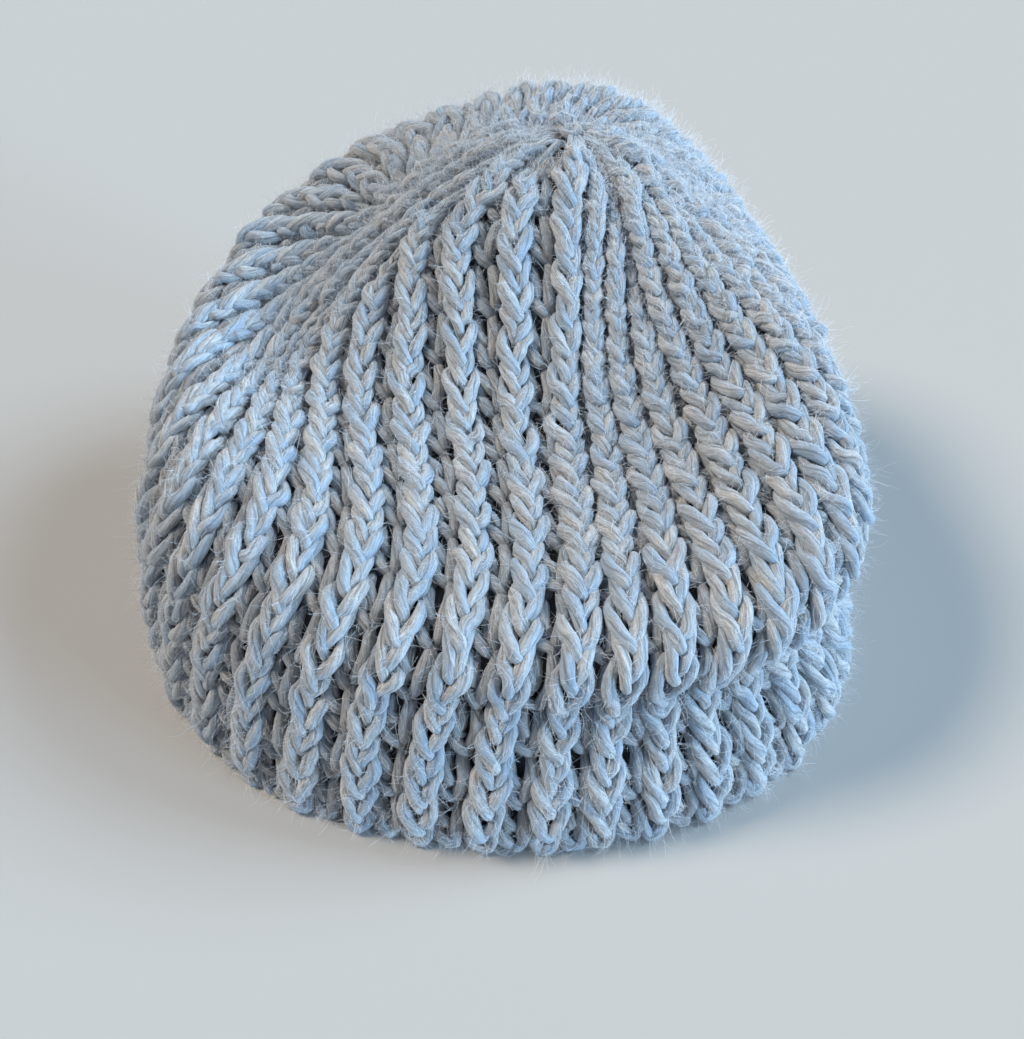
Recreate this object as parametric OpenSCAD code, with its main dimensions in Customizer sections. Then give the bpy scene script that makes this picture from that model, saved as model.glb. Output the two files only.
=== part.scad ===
// A slouchy hat crocheted in thick soft yarn, with raised ribs from crown to hem.
// It stands on its open hem and has slumped, as a hat does when it is put down:
// the brim is tucked in under a roll at the right of the front, a valley runs down the
// left, and a slack lobe of fabric lies at the back left.
// +Z is up, -Y is the front, and the origin is under the middle of the hat.

/* [Fabric] */
// How far the flat ground stitches reach outside their middle surface
ground_out = 1.4; // [0.8:0.1:2]
// How far the flat ground stitches reach inside their middle surface
ground_in = 1.2; // [0.8:0.1:2]
// Height of a rib's back above the middle surface
rib_low = 1.9; // [1.7:0.1:2.5]
// Height of a rib's ridge above the middle surface
rib_top = 4.4; // [3.5:0.1:5.5]
// Share of its own column that a rib covers
rib_share = 0.66; // [0.4:0.02:0.8]
// How much a rib swells and thins along each stitch
rib_swell = 0.14; // [0:0.02:0.3]

/* [Hem] */
// Height of the last round
hem_height = 6.8; // [4:0.2:8]
// How far the last round reaches outside the middle surface
hem_out = 3.2; // [2:0.2:5]
// How far the last round reaches inside the middle surface
hem_in = 2.4; // [1.5:0.1:4]
// Depth of the scallops round the hem, one to a rib
scallop = 0.7; // [0:0.1:1.5]

/* [Crown] */
// Radius of the closing ring, to the middle of its yarn
ring_radius = 3.0; // [2.5:0.1:5]
// Radius of the closing ring's yarn
ring_yarn = 2.0; // [1.5:0.1:3]

/* [Smoothness] */
// Sections of a rib for each round of stitches
rib_steps = 3; // [2:1:4]
// Columns of facets round the ground fabric
columns = 80; // [40:2:120]

/* [Output] */
// Which sub-part to draw

/* [Hidden] */
// Rounds of stitches from hem to crown, and the number of rounds between two outlines.
rounds = 16;
step = 1.6;
// Angle of rib 1 from the front, turning towards the right.
first_angle = 3;
// The middle of the whole hat, seen from above, where the outlines are measured from.
middle = [3.98, 5.1];
// The outlines of the slumped hat, from hem to crown. Each is an oval:
// centre x, centre y, half width left and right, half depth front and back,
// height at front, right, back and left, then how far the back-left lobe stands out,
// how high the ridge behind the crown rises, and how far the tuck moves out.
outlines = [
  [11, -29, 100, 90, 64, 86,   0,   0,   0,   0, 10, 0,  0],
  [13, -28, 101, 88, 60, 89,  21,  19,  22,  20, 13, 0,  0],
  [16, -25, 100, 75, 50, 92,  42,  31,  44,  39, 22, 0, -7],
  [20, -17,  96, 78, 57, 94,  54,  55,  68,  54, 29, 0,  9],
  [22,  -1,  92, 70, 39, 91,  56,  73,  93,  63, 27, 2,  1],
  [23,  20,  84, 59, 30, 70,  57,  84, 103,  58, 12, 7,  0],
  [23,  36,  74, 43, 26, 49,  70,  90, 104,  66,  2, 6,  0],
  [24,  48,  60, 29, 21, 33,  84,  97, 105,  79,  0, 2,  0],
  [24,  60,  42, 20, 17, 19,  97, 103, 106,  92,  0, 0,  0],
  [25,  68,  21, 13, 13,  9, 105, 107, 107, 103,  0, 0,  0],
  [25,  73,   3,  3,  3,  3, 109, 109, 109, 109,  0, 0,  0]
];
// The round where each rib begins, counted up from the hem. Ten of them reach the crown.
rib_start = [
  16, 15, 13.8, 12, 15, 13.4, 15.5, 12.6, 14.2,
  16, 11.5, 14, 12.5, 16, 11.5, 13.5, 12, 14.5, 11.5, 13.5, 12, 14, 12.5,
  13.5, 10.5, 15, 9.8, 13, 10.2, 14, 10.5,
  16, 11.5, 13, 11.8, 15, 12.4, 13.8, 15, 14.4
];
ribs = len(rib_start);
rib_names = [for (i = [1:ribs]) str("rib_", i < 10 ? "0" : "", i)];
last = len(outlines) - 1;

// Smoothly from 0 to 1
function ease(x) = let (q = min(max(x, 0), 1)) q * q * (3 - 2 * q);

// An angle brought into -180 to 180
function wrap(a) = a - 360 * floor((a + 180) / 360);

// A bump of height 1 round an angle
function near(a, middle, width) = let (d = wrap(a - middle) / width) exp(-d * d);

// The outline with one mirrored beyond each end, for the smooth curve below
function outline(i) = i < 0 ? 2 * outlines[0] - outlines[1]
  : i > last ? 2 * outlines[last] - outlines[last - 1] : outlines[i];

// The outline at round t, on a smooth curve through the table
function outline_at(t) =
  let (s = min(max(t / step, 0), last - 0.00001), i = floor(s), u = s - i, v = 1 - u)
  (v * v * v * outline(i - 1) + (3 * u * u * u - 6 * u * u + 4) * outline(i)
    + (3 * v * v * v - 6 * v * v + 4) * outline(i + 1) + u * u * u * outline(i + 2)) / 6;

// The fabric spreads out round the back, and more so round the slack lobe. The ribs keep
// their spacing there, so each takes a smaller share of the round.
function share(i) = i >= 23 && i <= 30 ? 0.625 : i >= 9 && i <= 22 ? 0.785 : 1;

// How much of the round a rib's column takes: little before the rib begins
function column(i, t) = share(i) * max(ease((rib_start[i] - t) / 3.4 + 0.3), rib_start[i] > 14.2 ? 0.5 : 0.1);

// Where each column begins, and the round's whole length
function columns_at(t) =
  [for (i = 0, s = 0; i <= ribs; s = s + (i < ribs ? column(i, t) : 0), i = i + 1) s];

// The angle of a place across rib i's column, from -0.5 to 0.5
function rib_angle(e, i, across) =
  first_angle + 360 * (e[i] + (e[i + 1] - e[i]) * (0.5 + across) - e[1] / 2) / e[ribs];

// A point of the middle surface, on outline o of round t
function on_outline(o, t, angle) =
  let (
    even = 3.44 + 2.86 * min(t / 6, 1) * min(max((14 - t) / 4, 0), 1),
    // Above the fold the ribs of the front left swing out round the side before they close in.
    swing = 19 * ease((t - 5.6) / 4.6) * near(angle, -58, 45),
    a = angle - even * sin(2 * angle) - swing,
    s = sin(a), c = cos(a),
    lobe = o[10] * near(a, -139, 47),
    out = lobe + o[12] * near(a, 42, 40)
  )
  [
    o[0] - middle[0] + (s > 0 ? o[3] : o[2]) * s + out * s,
    o[1] - middle[1] - (c > 0 ? o[4] : o[5]) * c - out * c,
    (c > 0 ? o[6] : o[8]) * c * c + (s > 0 ? o[7] : o[9]) * s * s
      + o[11] * near(a, 165, 28) + 0.05 * lobe * min(t, 4.5)
  ];

// Three outlines close together, so that a direction out of the fabric can be found
function level(t) =
  let (a = max(t - 0.05, 0), b = min(t + 0.05, rounds))
  [[outline_at(a), a], [outline_at(t), t], [outline_at(b), b]];

// A point that stands off the middle surface by a height
function lift(l, angle, height) =
  let (
    p = on_outline(l[1][0], l[1][1], angle),
    round_way = on_outline(l[1][0], l[1][1], angle + 0.5) - on_outline(l[1][0], l[1][1], angle - 0.5),
    up_way = on_outline(l[2][0], l[2][1], angle) - on_outline(l[0][0], l[0][1], angle),
    n = cross(round_way, up_way)
  )
  p + height * n / norm(n);

// Two triangles of a patch whose corners run a, b along one edge and d, c along the next
function patch(a, b, c, d) = [[a, c, b], [a, d, c]];

// A closed band of ground fabric between two rounds
module ground(from, to) {
  steps = ceil((to - from) * 2);
  levels = [for (i = [0:steps]) level(from + (to - from) * i / steps)];
  outer = [for (l = levels) for (j = [0:columns - 1]) lift(l, 360 * j / columns, ground_out)];
  inner = [for (l = levels) for (j = [0:columns - 1]) lift(l, 360 * j / columns, -ground_in)];
  n = len(outer);
  top = steps * columns;
  faces = [
    for (j = [0:columns - 1]) let (k = (j + 1) % columns) each concat(
      [for (i = [0:steps - 1]) let (r = i * columns) each patch(r + j, r + k, r + columns + k, r + columns + j)],
      [for (i = [0:steps - 1]) let (r = n + i * columns) each patch(r + k, r + j, r + columns + j, r + columns + k)],
      patch(n + j, n + k, k, j),
      patch(top + j, top + k, n + top + k, n + top + j))
  ];
  polyhedron(points = concat(outer, inner), faces = faces);
}

// The raised column of post stitches of rib i, from the hem up to the round where it begins
module rib(i) {
  from = 0.7;
  to = min(rib_start[i - 1] - 0.1, rounds - 1.2);
  steps = round((to - from) * rib_steps);
  section = [[-0.5, 0], [-0.4, 0.75], [0, 1], [0.4, 0.75], [0.5, 0]];
  sides = len(section);
  points = [
    for (j = [0:steps])
      let (t = from + (to - from) * j / steps, l = level(t), e = columns_at(t),
        swell = 1 - rib_swell * (0.5 + 0.5 * cos(360 * t)))
      for (q = section)
        lift(l, rib_angle(e, i - 1, q[0] * rib_share * swell), rib_low + (rib_top - rib_low) * q[1] * swell)
  ];
  end = steps * sides;
  faces = concat(
    [for (j = [0:steps - 1]) for (s = [0:sides - 1]) let (r = j * sides, k = (s + 1) % sides)
      each patch(r + s, r + k, r + sides + k, r + sides + s)],
    [for (s = [1:sides - 2]) [0, s, s + 1]],
    [for (s = [1:sides - 2]) [end, end + s + 1, end + s]]);
  color([0.66, 0.70, 0.75]) polyhedron(points = points, faces = faces);
}

// A scalloped outline round the hem, at a distance from the middle surface
function hem_outline(out, wave) = [
  for (i = [0:ribs - 1]) for (across = [-0.5, -0.25, 0, 0.25])
    let (l = level(0), e = columns_at(0), a = rib_angle(e, i, across),
      p = on_outline(l[1][0], 0, a),
      q = on_outline(l[1][0], 0, a + 0.5) - on_outline(l[1][0], 0, a - 0.5),
      n = [q[1], -q[0]] / norm([q[1], -q[0]]))
    [p[0], p[1]] + (out + wave * cos(360 * across)) * n
];

module hem_edge() {
  color([0.62, 0.66, 0.72]) linear_extrude(height = hem_height) difference() {
    polygon(hem_outline(hem_out, scallop));
    polygon(hem_outline(-hem_in, 0));
  }
}

module brim_ground() {
  color([0.50, 0.53, 0.58]) ground(0.66, 3.45);
}

module body_ground() {
  color([0.53, 0.55, 0.59]) ground(3.5, 9.6);
}

module crown_ground() {
  color([0.56, 0.58, 0.61]) ground(9.65, 15.3);
}

module crown_ring() {
  top = on_outline(outline_at(rounds), rounds, 0);
  color([0.68, 0.71, 0.75]) translate([outlines[last][0] - middle[0], outlines[last][1] - middle[1], top[2] + 0.6])
    rotate_extrude($fn = 32) translate([ring_radius, 0]) circle(r = ring_yarn, $fn = 24);
}

crown_ring();
crown_ground();
body_ground();
brim_ground();
hem_edge();
for (i = [1:ribs]) rib(i);
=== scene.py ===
import math

import bpy
import numpy as np
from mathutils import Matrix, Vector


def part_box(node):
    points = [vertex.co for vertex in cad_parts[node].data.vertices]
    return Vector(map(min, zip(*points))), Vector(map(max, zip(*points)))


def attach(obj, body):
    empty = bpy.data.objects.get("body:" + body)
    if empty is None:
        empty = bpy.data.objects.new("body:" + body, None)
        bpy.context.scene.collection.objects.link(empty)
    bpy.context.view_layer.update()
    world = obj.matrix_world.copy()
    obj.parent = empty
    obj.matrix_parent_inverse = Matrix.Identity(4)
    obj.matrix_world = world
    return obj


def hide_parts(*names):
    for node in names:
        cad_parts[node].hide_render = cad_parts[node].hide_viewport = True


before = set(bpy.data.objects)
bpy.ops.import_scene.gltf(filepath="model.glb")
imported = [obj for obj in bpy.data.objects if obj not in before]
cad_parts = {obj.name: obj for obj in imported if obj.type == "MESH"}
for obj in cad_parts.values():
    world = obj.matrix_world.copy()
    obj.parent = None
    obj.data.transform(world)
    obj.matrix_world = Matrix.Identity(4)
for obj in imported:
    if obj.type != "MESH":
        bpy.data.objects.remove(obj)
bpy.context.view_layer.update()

# ---------------------------------------------------------------- the slumped surface, in mm
# The same outlines, rib starts and folds as the CAD model, from hem to crown.
ROUNDS, STEP, FIRST_ANGLE, MIDDLE = 16.0, 1.6, 3.0, (3.98, 5.1)
OUTLINES = np.array([
    [11, -29, 100, 90, 64, 86, 0, 0, 0, 0, 10, 0, 0],
    [13, -28, 101, 88, 60, 89, 21, 19, 22, 20, 13, 0, 0],
    [16, -25, 100, 75, 50, 92, 42, 31, 44, 39, 22, 0, -7],
    [20, -17, 96, 78, 57, 94, 54, 55, 68, 54, 29, 0, 9],
    [22, -1, 92, 70, 39, 91, 56, 73, 93, 63, 27, 2, 1],
    [23, 20, 84, 59, 30, 70, 57, 84, 103, 58, 12, 7, 0],
    [23, 36, 74, 43, 26, 49, 70, 90, 104, 66, 2, 6, 0],
    [24, 48, 60, 29, 21, 33, 84, 97, 105, 79, 0, 2, 0],
    [24, 60, 42, 20, 17, 19, 97, 103, 106, 92, 0, 0, 0],
    [25, 68, 21, 13, 13, 9, 105, 107, 107, 103, 0, 0, 0],
    [25, 73, 3, 3, 3, 3, 109, 109, 109, 109, 0, 0, 0],
], float)
RIB_START = np.array([
    16, 15, 13.8, 12, 15, 13.4, 15.5, 12.6, 14.2,
    16, 11.5, 14, 12.5, 16, 11.5, 13.5, 12, 14.5, 11.5, 13.5, 12, 14, 12.5,
    13.5, 10.5, 15, 9.8, 13, 10.2, 14, 10.5,
    16, 11.5, 13, 11.8, 15, 12.4, 13.8, 15, 14.4,
])
RIB_SHARE = np.array([1.0] * 9 + [0.785] * 14 + [0.625] * 8 + [1.0] * 9)
RIBS = len(RIB_START)
YARN = 2.0  # radius of the yarn
RIB_HALF = 4.9  # half the width of a rib
STITCH = 14.4  # length of a stitch up a rib of full width
FULL_PITCH = 12.0  # ribs closer together than this have shorter stitches
TWIST = 0.14  # how far the yarn turns, in radians to a mm
LEAST_GAP = 0.05  # between the yarn and the floor
FABRIC_TOP = 15.4  # the round where the ground fabric ends, under the gathered crown
ROUND_HEIGHT = 13.0  # what a round measures where a strand reaches below the hem
MM = 0.001
rng = np.random.default_rng(7)


def ease(x):
    x = np.clip(x, 0, 1)
    return x * x * (3 - 2 * x)


def outline_at(t):
    rows = np.vstack([2 * OUTLINES[0] - OUTLINES[1], OUTLINES, 2 * OUTLINES[-1] - OUTLINES[-2]])
    s = np.clip(t / STEP, 0, len(OUTLINES) - 1 - 1e-6)
    i = s.astype(int)
    u = (s - i)[..., None]
    v = 1 - u
    return (v**3 * rows[i] + (3 * u**3 - 6 * u**2 + 4) * rows[i + 1]
            + (3 * v**3 - 6 * v**2 + 4) * rows[i + 2] + u**3 * rows[i + 3]) / 6


def near(angle, middle, width):
    return np.exp(-((((angle - middle + 180) % 360) - 180) / width) ** 2)


def surface(angle, t):
    o = np.moveaxis(outline_at(t), -1, 0)
    # Turning these angles a little keeps the ribs evenly spaced round an oval.
    even = 3.44 + 2.86 * np.minimum(t / 6, 1) * np.clip((14 - t) / 4, 0, 1)
    # Above the fold the ribs of the front left swing out round the side before they close in.
    swing = 19 * ease((t - 5.6) / 4.6) * near(angle, -58, 45)
    a = angle - even * np.sin(np.radians(2 * angle)) - swing
    s, c = np.sin(np.radians(a)), np.cos(np.radians(a))
    lobe = o[10] * near(a, -139, 47)
    out = lobe + o[12] * near(a, 42, 40)
    x = o[0] - MIDDLE[0] + np.where(s > 0, o[3], o[2]) * s + out * s
    y = o[1] - MIDDLE[1] - np.where(c > 0, o[4], o[5]) * c - out * c
    z = (np.where(c > 0, o[6], o[8]) * c * c + np.where(s > 0, o[7], o[9]) * s * s
         + o[11] * near(a, 165, 28) + 0.05 * lobe * np.minimum(t, 4.5))
    return np.stack([x, y, z], -1)


def unit(v):
    return v / np.maximum(np.linalg.norm(v, axis=-1, keepdims=True), 1e-9)


def outward(angle, t):
    round_way = surface(angle + 0.5, t) - surface(angle - 0.5, t)
    up_way = surface(angle, np.minimum(t + 0.05, ROUNDS)) - surface(angle, np.maximum(t - 0.05, 0))
    return unit(np.cross(round_way, up_way))


def lift(angle, t, height):
    return surface(angle, t) + outward(angle, t) * height[..., None]


def column_edges(t):
    """Where each rib's column begins round the hat at round t, and the round's whole length."""
    w = ease((RIB_START - t[..., None]) / 3.4 + 0.3)
    w = RIB_SHARE * np.maximum(w, np.where(RIB_START > 14.2, 0.5, 0.1))
    return np.concatenate([np.zeros(t.shape + (1,)), np.cumsum(w, -1)], -1)


def in_column(rib, t, between):
    """Middle angle of rib columns, or of the gaps after them, with mm to a degree and the pitch."""
    e = column_edges(t)
    i = np.broadcast_to(rib[:, None], t.shape)[..., None]
    lo, hi = (np.take_along_axis(e, j, -1)[..., 0] for j in (i, i + 1))
    after = (i + 1) % RIBS
    step = (np.take_along_axis(e, after + 1, -1) - np.take_along_axis(e, after, -1))[..., 0]
    mid, share = (hi, ((hi - lo) + step) / 2) if between else ((lo + hi) / 2, hi - lo)
    angle = FIRST_ANGLE + 360 * (mid - e[..., 1] / 2) / e[..., -1]
    speed = np.linalg.norm(surface(angle + 0.5, t) - surface(angle - 0.5, t), axis=-1)
    return angle, speed, share / e[..., -1] * 360 * speed


def stitch_rows(rib, top):
    """Where the stitches of a rib begin, up its length, and how many rounds each spans.
    A remainder of most of a stitch at the top makes one more."""
    t = np.arange(0, top, 0.1)
    angle, _, pitch = (v[0] for v in in_column(np.array([rib]), t[None], False))
    length = STITCH * np.clip(pitch / FULL_PITCH, 0.6, 1)[1:]
    pace = np.linalg.norm(np.diff(surface(angle, t), axis=0), axis=-1)
    along = np.concatenate([[0], np.cumsum(pace / length)])
    count = max(1, int(along[-1] + 0.35))
    rows = np.interp(np.arange(count + 1), along, t)
    rows[-1] = max(rows[-1], min(top, rows[-2] + 0.6))
    return rows[:-1], np.diff(rows)


# ---------------------------------------------------------------- yarn
def path_weights(controls, samples):
    """A matrix that turns control points into points along a smooth curve through them."""
    s = np.linspace(0, controls - 1 - 1e-9, samples)
    w = np.zeros((samples, controls))
    for row, value in enumerate(s):
        i = int(value)
        u = value - i
        for j, f in ((i - 1, -u + 2 * u**2 - u**3), (i, 2 - 5 * u**2 + 3 * u**3),
                     (i + 1, u + 4 * u**2 - 3 * u**3), (i + 2, -u**2 + u**3)):
            w[row, min(max(j, 0), controls - 1)] += f / 2
    return w


def strands(shape, ribs, rounds, spans, samples, between=False, thick=1.0):
    """Yarn paths and radii: one strand of the given shape in each listed rib and round, or between
    the ribs, or (between None) in the narrow column above the place where a rib begins.
    The shape's points are across (-1 to 1), up (0 to 1 of a stitch) and out (mm)."""
    shape = np.array(shape, float)
    ctrl = np.repeat(shape[None], len(ribs), 0)
    # Hand work is uneven: each point strays a little, and so does each whole strand.
    ctrl += rng.normal(0, 1, ctrl.shape) * np.array([0.10, 0.032, 0.28])
    ctrl[..., 0] += rng.normal(0, 0.07, (len(ribs), 1))
    ctrl[..., 1] += rng.normal(0, 0.03, (len(ribs), 1))
    local = path_weights(len(shape), samples) @ ctrl
    t = rounds[:, None] + local[..., 1] * spans[:, None]
    local[..., 0] += 0.12 * np.sin(1.3 * t + 2.4 * ribs[:, None])
    below = np.minimum(t, 0)
    t = np.clip(t, 0, ROUNDS - 0.05)
    angle, speed, pitch = in_column(ribs, t, between)
    width = np.clip(0.5 * pitch - 0.2, 1.8, RIB_HALF)
    r = np.clip(0.26 * pitch, 0.95, YARN)
    if between is None:
        r, half = np.full_like(r, 1.7), 2.4
    else:
        half = np.clip(0.5 * pitch - width + 2.3, 1.3, 3.9) if between else width - r
    # Ground strands stand proud where the ribs are far apart and sink back where they crowd.
    if between is None:
        sink = 0.9
    else:
        sink = np.clip(4 - pitch / 3, -0.4, 1) * 1.6 if between else 0
    p = lift(angle + local[..., 0] * half / speed, t, local[..., 2] * r / YARN - sink)
    p[..., 2] += below * ROUND_HEIGHT
    return p, r * thick


class Yarn:
    """Collects tubes, then writes them as one mesh with the coordinates that the yarn uses."""

    def __init__(self):
        self.verts, self.coords, self.quads, self.caps, self.count = [], [], [], [], 0
        self.roots = []

    def add(self, p, radius, sides=10, tips=0.3, taper=0.65):
        """Closed tubes along the paths, fat in the middle and drawn in at their ends."""
        n, rings = p.shape[:2]
        s = np.linspace(0, 1, rings)
        r = radius * (tips + (1 - tips) * np.sin(math.pi * s) ** taper)
        r = r * rng.uniform(0.92, 1.08, (n, 1)) * (1 + 0.03 * rng.normal(0, 1, (n, rings)))
        p = p.copy()
        p[..., 2] = np.maximum(p[..., 2], r + LEAST_GAP)
        tangent = unit(np.gradient(p, axis=1))
        side = unit(np.cross(tangent[:, 0], np.array([0.31, 0.52, 0.79])))
        sides_at = np.empty_like(p)
        for k in range(rings):
            side = unit(side - (side * tangent[:, k]).sum(-1, keepdims=True) * tangent[:, k])
            sides_at[:, k] = side
        other = np.cross(tangent, sides_at)
        a = np.arange(sides) / sides * 2 * np.pi
        ring = (np.cos(a)[:, None] * sides_at[:, :, None] + np.sin(a)[:, None] * other[:, :, None])
        steps = np.linalg.norm(np.diff(p, axis=1), axis=-1)
        along = np.concatenate([np.zeros((n, 1)), np.cumsum(steps, 1)], 1)
        turn = rng.uniform(0, 6.28, (n, 1, 1))
        twist = a[None, None] + along[..., None] * TWIST + turn
        plies = 1 + 0.05 * np.cos(3 * twist) + 0.03 * np.cos(2 * twist + turn)
        v = p[:, :, None] + ring * (r[:, :, None] * plies)[..., None]
        # Each tube reads its own stretch of the yarn.
        length = np.broadcast_to((along + rng.uniform(0, 900, (n, 1)))[..., None], twist.shape)
        c = np.stack([np.cos(twist) * r[..., None], np.sin(twist) * r[..., None], length], -1)
        ring_at = np.arange(n)[:, None, None] * rings + np.arange(rings - 1)[None, :, None]
        base = self.count + ring_at * sides
        k = np.arange(sides)[None, None]
        k1 = (k + 1) % sides
        corners = [base + k, base + k1, base + sides + k1, base + sides + k]
        self.quads.append(np.stack(corners, -1).reshape(-1, 4))
        first = self.count + np.arange(n)[:, None] * rings * sides
        last = first + (rings - 1) * sides
        self.caps.append(np.concatenate([first + np.arange(sides)[::-1], last + np.arange(sides)]))
        self.verts.append(v.reshape(-1, 3))
        self.coords.append(c.reshape(-1, 3))
        self.count += n * rings * sides
        inner = slice(1, -1)
        self.roots.append((p[:, inner].reshape(-1, 3), tangent[:, inner].reshape(-1, 3),
                           r[:, inner].reshape(-1)))

    def add_grid(self, v, c, quads):
        self.quads.append(quads + self.count)
        self.verts.append(v)
        self.coords.append(c)
        self.count += len(v)

    def build(self, name, mats, nodes, shell_faces=0):
        faces = [np.concatenate(self.quads)] + self.caps
        me = bpy.data.meshes.new(name)
        fill_mesh(me, np.concatenate(self.verts) * MM, faces)
        put_vectors(me, "yarn", np.concatenate(self.coords))
        for m in mats:
            me.materials.append(m)
        # The shell's faces take the second material, a near-black painted shade.
        if shell_faces:
            index = np.zeros(len(me.polygons), np.int32)
            index[:shell_faces] = 1
            me.polygons.foreach_set("material_index", index)
        ob = bpy.data.objects.new(name, me)
        bpy.context.scene.collection.objects.link(ob)
        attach(ob, "root")
        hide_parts(*nodes)


def fill_mesh(me, verts, faces):
    sizes = np.concatenate([np.full(len(f), f.shape[1], np.int32) for f in faces])
    loops = np.concatenate([f.ravel() for f in faces]).astype(np.int32)
    starts = np.concatenate([[0], np.cumsum(sizes)[:-1]]).astype(np.int32)
    me.vertices.add(len(verts))
    me.vertices.foreach_set("co", verts.astype(np.float32).ravel())
    me.loops.add(len(loops))
    me.loops.foreach_set("vertex_index", loops)
    me.polygons.add(len(sizes))
    me.polygons.foreach_set("loop_start", starts)
    me.polygons.foreach_set("use_smooth", np.ones(len(sizes), bool))
    me.update(calc_edges=True)
    me.validate()


def put_vectors(me, name, values):
    attr = me.attributes.new(name, "FLOAT_VECTOR", "POINT")
    attr.data.foreach_set("vector", values.astype(np.float32).ravel())


# ---------------------------------------------------------------- materials
def yarn_material(name, dark, light, tint, bump=0.65, sheen=0.3):
    """Loosely spun yarn: fine fibres along it, and slow changes from its own colour to a tint."""
    mat = bpy.data.materials.new(name)
    mat.use_nodes = True
    nt = mat.node_tree
    bsdf = nt.nodes["Principled BSDF"]
    link, node = nt.links.new, nt.nodes.new
    coord = node("ShaderNodeAttribute")
    coord.attribute_name = "yarn"

    def noise(scale, detail):
        place, tex = node("ShaderNodeMapping"), node("ShaderNodeTexNoise")
        place.inputs["Scale"].default_value = scale
        tex.inputs["Scale"].default_value = 1.0
        tex.inputs["Detail"].default_value = detail
        tex.inputs["Roughness"].default_value = 0.72
        link(coord.outputs["Vector"], place.inputs["Vector"])
        link(place.outputs["Vector"], tex.inputs["Vector"])
        return tex.outputs["Fac"]

    def spread(value, low, high):
        change = node("ShaderNodeMapRange")
        change.inputs["From Min"].default_value = low
        change.inputs["From Max"].default_value = high
        link(value, change.inputs["Value"])
        return change.outputs["Result"]

    def mix(amount, a, b):
        blend = node("ShaderNodeMix")
        blend.data_type = "RGBA"
        link(amount, blend.inputs["Factor"])
        for socket, value in ((blend.inputs[6], a), (blend.inputs[7], b)):
            if isinstance(value, tuple):
                socket.default_value = value + (1,)
            else:
                link(value, socket)
        return blend.outputs[2]

    # Three plies twist round each other; painted shade darkens a line along the crease between two
    # of them.
    round_way = node("ShaderNodeTexGradient")
    count, fold = node("ShaderNodeMath"), node("ShaderNodeMath")
    round_way.gradient_type = "RADIAL"
    count.operation, fold.operation = "MULTIPLY", "PINGPONG"
    count.inputs[1].default_value, fold.inputs[1].default_value = 3.0, 0.5
    link(coord.outputs["Vector"], round_way.inputs["Vector"])
    link(round_way.outputs["Fac"], count.inputs[0])
    link(count.outputs[0], fold.inputs[0])

    fibres = noise((2.1, 2.1, 0.30), 5.0)
    colour = mix(spread(fibres, 0.30, 0.67), dark, light)
    tinted = mix(spread(fibres, 0.29, 0.68), tuple(0.5 * c for c in tint), tint)
    patches = spread(noise((0.09, 0.09, 0.05), 1.5), 0.36, 0.62)
    yarn_colour = mix(patches, colour, tinted)
    # Painted shade: black mixed into the yarn's colour along the crease line.
    crease_shaded = mix(spread(fold.outputs[0], -0.17, 0.12), (0.0, 0.0, 0.0), yarn_colour)
    link(crease_shaded, bsdf.inputs["Base Color"])
    relief = node("ShaderNodeBump")
    relief.inputs["Strength"].default_value = bump
    relief.inputs["Distance"].default_value = 0.0006
    link(fibres, relief.inputs["Height"])
    link(relief.outputs["Normal"], bsdf.inputs["Normal"])
    bsdf.inputs["Roughness"].default_value = 0.9
    bsdf.inputs["Specular IOR Level"].default_value = 0.25
    bsdf.inputs["Sheen Weight"].default_value = sheen
    bsdf.inputs["Sheen Roughness"].default_value = 0.5
    bsdf.inputs["Sheen Tint"].default_value = (0.82, 0.88, 0.95, 1)
    return mat


def plain_material(name, colour, roughness, specular=0.5):
    mat = bpy.data.materials.new(name)
    mat.use_nodes = True
    bsdf = mat.node_tree.nodes["Principled BSDF"]
    bsdf.inputs["Base Color"].default_value = colour + (1,)
    bsdf.inputs["Roughness"].default_value = roughness
    bsdf.inputs["Specular IOR Level"].default_value = specular
    return mat


RIB_YARN = yarn_material("rib_yarn", (0.18, 0.18, 0.18), (0.63, 0.615, 0.60), (0.39, 0.46, 0.54))
# Painted shade: the ground stitches are the same yarn as the ribs, coloured darker and warmer for
# the shade in the recesses between the ribs.
GROUND_YARN_SHADED = yarn_material("ground_yarn", (0.10, 0.10, 0.10), (0.51, 0.49, 0.47),
                            (0.32, 0.355, 0.395))
EDGE_YARN = yarn_material("edge_yarn", (0.17, 0.17, 0.17), (0.58, 0.57, 0.56), (0.36, 0.42, 0.49))
# Painted shade: the back of the fabric is the same yarn, made near-black where it shows through the
# gaps between strands.
BACK_PAINTED_SHADE = yarn_material("ground_back_painted_shade", (0.05, 0.05, 0.05), (0.15, 0.143, 0.137),
                          (0.10, 0.105, 0.112), sheen=0.0)
FUZZ = plain_material("fuzz", (0.74, 0.76, 0.79), 0.7)

# ---------------------------------------------------------------- stitches
# Each post stitch shows two V's, half a stitch apart: fat legs that meet towards the hem, the left
# one lying on top, with the point of every V resting on the V below it.
LEFT_LEG = [(-0.45, 1.04, 0.0), (-0.95, 0.93, 1.8), (-1.27, 0.72, 3.3), (-1.02, 0.50, 4.3),
            (-0.45, 0.28, 4.8), (0.06, 0.09, 4.9), (0.42, -0.04, 3.6), (0.50, -0.12, 1.0)]
RIGHT_LEG = [(0.45, 1.02, 0.0), (0.97, 0.91, 1.8), (1.30, 0.71, 3.3), (1.12, 0.50, 4.2),
             (0.66, 0.32, 4.5), (0.24, 0.18, 4.1), (-0.12, 0.07, 2.8), (-0.30, -0.02, 0.7)]
INNER_LEFT = [(0.76 * x, y + 0.5, 0.93 * z) for x, y, z in LEFT_LEG]
INNER_RIGHT = [(0.76 * x, y + 0.5, 0.93 * z) for x, y, z in RIGHT_LEG]
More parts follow.
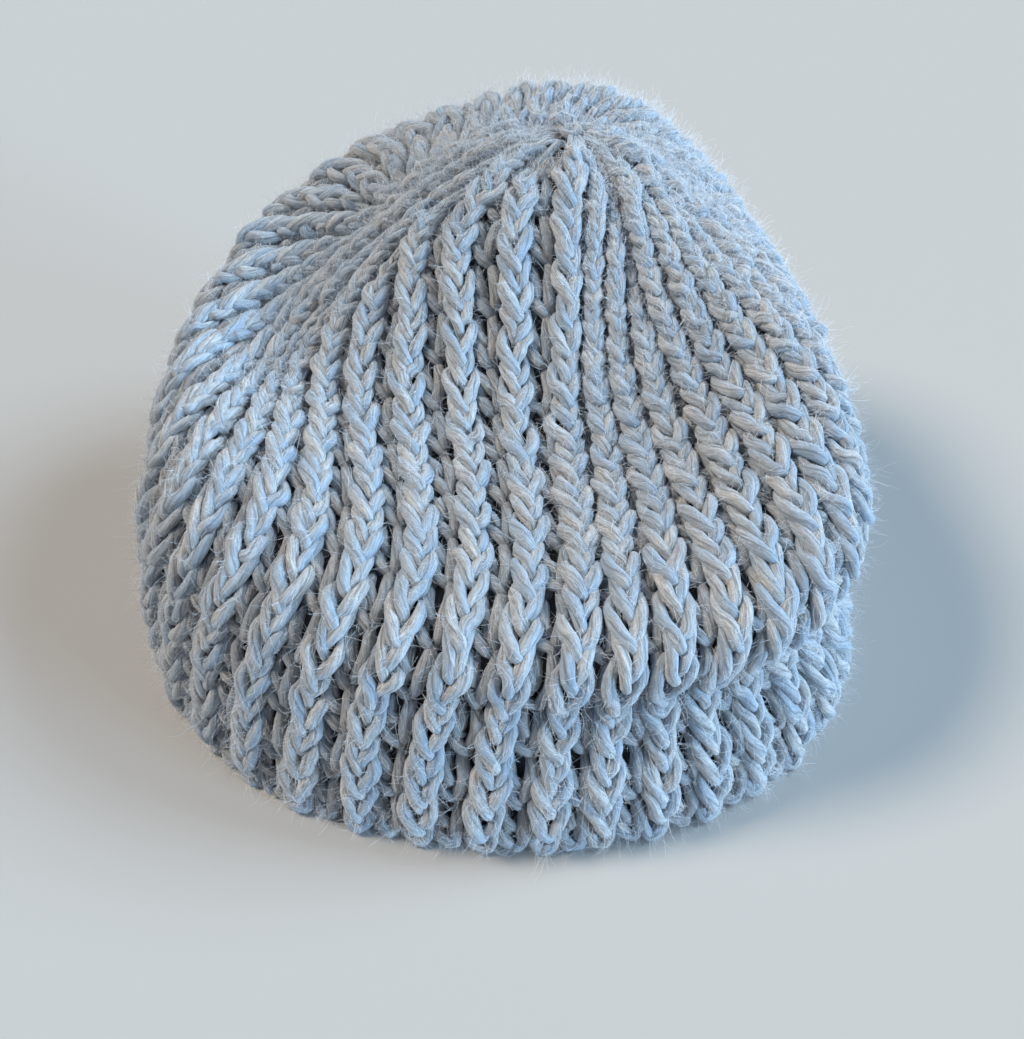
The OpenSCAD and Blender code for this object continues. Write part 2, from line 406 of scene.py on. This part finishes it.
# Between the ribs each round shows one upright bar with two short slanting strands beside it.
BAR = [(0.26, 1.16, -0.4), (0.42, 0.95, 1.5), (0.52, 0.60, 2.3), (0.46, 0.26, 1.8),
       (0.30, 0.02, -0.4)]
SLANT_HIGH = [(-1.25, 0.96, 0.0), (-0.85, 0.78, 1.7), (-0.30, 0.58, 2.0), (0.20, 0.42, 0.2)]
SLANT_LOW = [(-1.15, 0.50, 0.0), (-0.65, 0.33, 1.7), (0.00, 0.16, 1.9), (0.62, -0.02, 0.1)]
UNDER = [(-0.85, 1.15, -0.6), (-0.70, 0.80, 0.9), (-0.45, 0.45, 1.1), (-0.60, 0.05, -0.6)]
# The last round ends in loops that turn under the hem.
HEM_LOOP = [(-1.10, 0.72, -0.2), (-0.70, 0.42, 1.2), (-0.25, 0.12, 1.7), (0.30, -0.02, 1.7),
            (0.62, 0.16, 1.6), (0.56, 0.50, 1.5), (0.46, 0.86, 0.2)]
RIB_FOOT = [(-1.00, 0.80, 1.0), (-1.06, 0.36, 2.6), (-0.48, 0.06, 3.3),
            (0.48, 0.04, 3.3), (1.04, 0.34, 2.6), (1.00, 0.80, 1.0)]
ALL = np.arange(RIBS)
phase = rng.uniform(-0.12, 0.12, RIBS)
all_yarn = []

for i in range(RIBS):
    yarn = Yarn()
    # The ribs that reach the crown run on into its gathers.
    top = RIB_START[i] - 0.2 if RIB_START[i] < 15 else 15.7
    rows, spans = stitch_rows(i, top)
    # Neighbouring ribs are a little out of step, and the first stitch starts above the hem.
    rows = rows + phase[i] * np.minimum(rows, 3) / 3 + 0.42 * np.maximum(1 - rows, 0)
    own = np.full(len(rows), i)
    for shape, rings, sides, thick in ((LEFT_LEG, 16, 12, 0.98), (RIGHT_LEG, 16, 12, 0.94),
                                       (INNER_LEFT, 15, 11, 0.88), (INNER_RIGHT, 15, 11, 0.84)):
        yarn.add(*strands(shape, own, rows, spans, rings, thick=thick), sides, tips=0.25, taper=0.9)
    name = "rib_%02d" % (i + 1)
    yarn.build(name + "_stitches", [RIB_YARN], [name])
    all_yarn.append(yarn)


def ground_shell(yarn, t0, t1):
    """The back of the fabric: a closed band with the relief of its stitches, inside and out. Its
    faces are given a near-black colour as painted shade, seen through the gaps between the strands.
    """
    cols, rows = RIBS * 8, int(round((t1 - t0) * 8)) + 1
    angle, t = np.meshgrid(np.arange(cols) / cols * 360, np.linspace(t0, t1, rows), indexing="xy")
    wave = 0.35 * np.sin(np.radians(angle) * RIBS * 2) * np.cos(t * 2 * np.pi)
    outer = lift(angle, t, 0.1 + wave)
    inner = lift(angle, t, -1.1 - 0.5 * np.abs(wave))
    for p in (outer, inner):
        p[..., 2] = np.maximum(p[..., 2], 0.4)
    v = np.concatenate([outer.reshape(-1, 3), inner.reshape(-1, 3)])
    j = np.arange(cols)
    k = (j + 1) % cols
    n = rows * cols
    quads = []
    for r in range(rows - 1):
        a = r * cols
        quads.append(np.stack([a + j, a + k, a + cols + k, a + cols + j], -1))
        quads.append(np.stack([n + a + k, n + a + j, n + a + cols + j, n + a + cols + k], -1))
    quads.append(np.stack([n + j, n + k, k, j], -1))
    a = (rows - 1) * cols
    quads.append(np.stack([a + j, a + k, n + a + k, n + a + j], -1))
    quads = np.concatenate(quads)
    yarn.add_grid(v, v[:, [0, 2, 1]] * 0.8, quads)
    return len(quads)


def ground_zone(name, t0, t1):
    yarn = Yarn()
    shell = ground_shell(yarn, max(t0, 0.25), min(t1, FABRIC_TOP))
    for between in (True, None):
        ribs, rows, spans = [], [], []
        for i in range(RIBS):
            begin = RIB_START[i] - 0.4
            shorter = min(begin, RIB_START[(i + 1) % RIBS])
            low, top = (-0.1, shorter + 0.6) if between else (begin, 15.2)
            for row, span in zip(*stitch_rows(i, FABRIC_TOP)):
                if max(t0, low) <= row + 0.3 < min(t1, top + 0.3):
                    ribs.append(i), rows.append(row), spans.append(span)
        where = np.array(ribs, int), np.array(rows), np.array(spans)
        if ribs:
            for shape, rings, sides, thick in ((BAR, 9, 8, 0.94), (SLANT_HIGH, 7, 7, 0.84),
                                               (SLANT_LOW, 7, 7, 0.86), (UNDER, 6, 7, 0.9)):
                yarn.add(*strands(shape, *where, rings, between, thick), sides)
    # The stitches take the ground yarn with its painted shade; the shell takes the near-black
    # painted-shade material.
    yarn.build(name + "_stitches", [GROUND_YARN_SHADED, BACK_PAINTED_SHADE], [name], shell)
    all_yarn.append(yarn)


ground_zone("brim_ground", 0, 3.475)
ground_zone("body_ground", 3.475, 9.625)
ground_zone("crown_ground", 9.625, 16)

hem = Yarn()
first, whole = np.zeros(RIBS), np.ones(RIBS)
hem.add(*strands(HEM_LOOP, ALL, first, whole, 18, True, 0.85), 11, tips=0.5)
hem.add(*strands(RIB_FOOT, ALL, first, whole, 16, thick=0.9), 10, tips=0.5)
hem.build("hem_edge_loops", [EDGE_YARN], ["hem_edge"])
all_yarn.append(hem)

# The closing round: the last stitches drawn in to the middle of the crown.
crown = Yarn()
low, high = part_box("crown_ring")
centre = (np.array(low) + np.array(high)) / 2 / MM
SPOKES = 11
around = np.arange(SPOKES) * 360 / SPOKES + rng.normal(0, 5, SPOKES)
spokes = [lift(around, np.full(SPOKES, t), np.full(SPOKES, h))
          for t, h in ((14.3, -0.6), (14.7, 0.6), (15.2, 0.9), (15.7, 0.4))]
spokes.append(spokes[-1] * 0.5 + centre * 0.5 - np.array([0, 0, 2.0]))
crown.add(path_weights(5, 12) @ np.stack(spokes, 1), 1.3, 10)
turn = np.linspace(0, 11.5, 60)
coil = np.stack([np.cos(turn), np.sin(turn), 0 * turn], -1) * (3.4 - 0.26 * turn)[:, None]
coil[:, 2] = -0.4 + 0.14 * turn + 0.3 * np.sin(2.3 * turn)
crown.add((centre + coil)[None], 1.35, 10)
crown.build("crown_gather", [EDGE_YARN], ["crown_ring"])
all_yarn.append(crown)


# ---------------------------------------------------------------- fuzz
HAT_INSIDE = np.array([10.0, 10.0, 10.0])  # a place inside the hat that hairs point away from
LONGEST_HAIR = 9.0


def hairs(count, length, radius, rings, stray, seed):
    """Fine curling fibres that stand off the yarn, each a closed three-sided sliver."""
    g = np.random.default_rng(seed)
    points = np.concatenate([r[0] for y in all_yarn for r in y.roots])
    tangents = np.concatenate([r[1] for y in all_yarn for r in y.roots])
    radii = np.concatenate([r[2] for y in all_yarn for r in y.roots])
    # Thick yarn sheds more, and the crown is the fuzziest place.
    weight = radii**3 * (1 + 1.2 * ease((points[:, 2] - 82) / 25))
    pick = g.choice(len(points), count, p=weight / weight.sum())
    t = tangents[pick]
    out = unit(np.cross(t, g.normal(0, 1, (count, 3))))
    away = unit(points[pick] - HAT_INSIDE)
    out = unit(out + away * 0.9)
    way = unit(out + t * g.normal(0, stray, (count, 1)))
    bend = unit(g.normal(0, 1, (count, 3)))
    size = np.minimum(g.gamma(3.0, length / 3.0, (count, 1)), LONGEST_HAIR)
    p = np.empty((count, rings, 3))
    p[:, 0] = points[pick] + out * (radii[pick] * 0.7)[:, None]
    for k in range(1, rings):
        bend = unit(bend + 0.5 * g.normal(0, 1, (count, 3)))
        way = unit(way + 0.38 * bend)
        p[:, k] = p[:, k - 1] + way * size / (rings - 1)
    p[..., 2] = np.maximum(p[..., 2], 0.3)
    tangent = unit(np.gradient(p, axis=1))
    side = unit(np.cross(tangent, np.array([0.2, 0.3, 0.93])))
    other = np.cross(tangent, side)
    a = np.arange(3) / 3 * 2 * np.pi
    thin = radius * np.linspace(1.0, 0.35, rings)
    ring = np.cos(a)[:, None] * side[:, :, None] + np.sin(a)[:, None] * other[:, :, None]
    v = p[:, :, None] + ring * thin[:, None, None]
    base = (np.arange(count)[:, None, None] * rings + np.arange(rings - 1)[None, :, None]) * 3
    k = np.arange(3)[None, None]
    k1 = (k + 1) % 3
    quads = np.stack([base + k, base + k1, base + 3 + k1, base + 3 + k], -1).reshape(-1, 4)
    first = np.arange(count)[:, None] * rings * 3
    caps = np.concatenate([first + np.array([2, 1, 0]), first + (rings - 1) * 3 + np.arange(3)])
    return v.reshape(-1, 3), quads, caps


def fuzz_piece(name, *args):
    v, quads, caps = hairs(*args)
    me = bpy.data.meshes.new(name)
    fill_mesh(me, v * MM, [quads, caps])
    me.materials.append(FUZZ)
    ob = bpy.data.objects.new(name, me)
    bpy.context.scene.collection.objects.link(ob)
    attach(ob, "root")


thin_out = 1.0
# Kind, pieces, hairs in each, mean length, radius, rings, stray along the yarn and first seed.
for kind, pieces, count, *rest, seed in (("short", 6, 8800, 3.0, 0.045, 4, 0.7, 100),
                                         ("flat", 8, 8800, 2.8, 0.06, 4, 2.2, 150),
                                         ("long", 3, 3600, 6.0, 0.045, 9, 0.9, 200)):
    for k in range(pieces):
        fuzz_piece("fuzz_%s_%d" % (kind, k + 1), int(count * thin_out), *rest, seed + k)

# ---------------------------------------------------------------- floor, light and camera
floor_mesh = bpy.data.meshes.new("floor")
floor_mesh.from_pydata([(-12, -12, 0), (12, -12, 0), (12, 12, 0), (-12, 12, 0)], [], [(0, 1, 2, 3)])
floor_mesh.materials.append(plain_material("floor", (0.44, 0.425, 0.405), 1.0, specular=0.0))
floor = bpy.data.objects.new("floor", floor_mesh)
bpy.context.scene.collection.objects.link(floor)


def soft_light(name, source, spread, strength, colour):
    """Even light from one direction, with shadows as soft as a window of that spread throws."""
    light = bpy.data.lights.new(name, "SUN")
    light.angle = math.radians(spread)
    light.energy = strength
    light.color = colour
    ob = bpy.data.objects.new(name, light)
    ob.location = source
    way = -np.array(source) / np.linalg.norm(source)
    ob.rotation_euler = (math.acos(-way[2]), 0, math.atan2(way[1], way[0]) - math.pi / 2)
    bpy.context.scene.collection.objects.link(ob)


soft_light("window", (1.05, -0.56, 0.14), 20, 5.2, (0.46, 0.72, 1.0))
soft_light("sky", (0.78, 0.24, 0.60), 25, 3.2, (0.62, 0.82, 1.0))
soft_light("ceiling", (-0.85, 0.15, 0.90), 18, 3.0, (1.0, 0.90, 0.77))

# A pale surround, brighter towards the horizon.
world = bpy.data.worlds.new("studio")
world.use_nodes = True
nodes, links = world.node_tree.nodes, world.node_tree.links
place, parts = nodes.new("ShaderNodeTexCoord"), nodes.new("ShaderNodeSeparateXYZ")
height, shade = nodes.new("ShaderNodeMapRange"), nodes.new("ShaderNodeMix")
shade.data_type = "RGBA"
height.inputs["From Min"].default_value = 0.06
height.inputs["From Max"].default_value = 0.45
shade.inputs[6].default_value = (0.42, 0.445, 0.47, 1)
shade.inputs[7].default_value = (0.17, 0.22, 0.29, 1)
links.new(place.outputs["Generated"], parts.inputs[0])
links.new(parts.outputs["Z"], height.inputs["Value"])
links.new(height.outputs["Result"], shade.inputs["Factor"])
links.new(shade.outputs[2], nodes["Background"].inputs["Color"])
nodes["Background"].inputs["Strength"].default_value = 1.0
bpy.context.scene.world = world
bpy.context.scene.view_settings.view_transform = "Standard"

camera_data = bpy.data.cameras.new("camera")
camera_data.lens = 35.5
camera_data.sensor_width = 36
camera_data.clip_start = 0.01
camera = bpy.data.objects.new("camera", camera_data)
camera.location = (0.0036, -0.2151, 0.2555)
camera.rotation_euler = (math.radians(42), 0, 0)
bpy.context.scene.collection.objects.link(camera)
bpy.context.scene.camera = camera
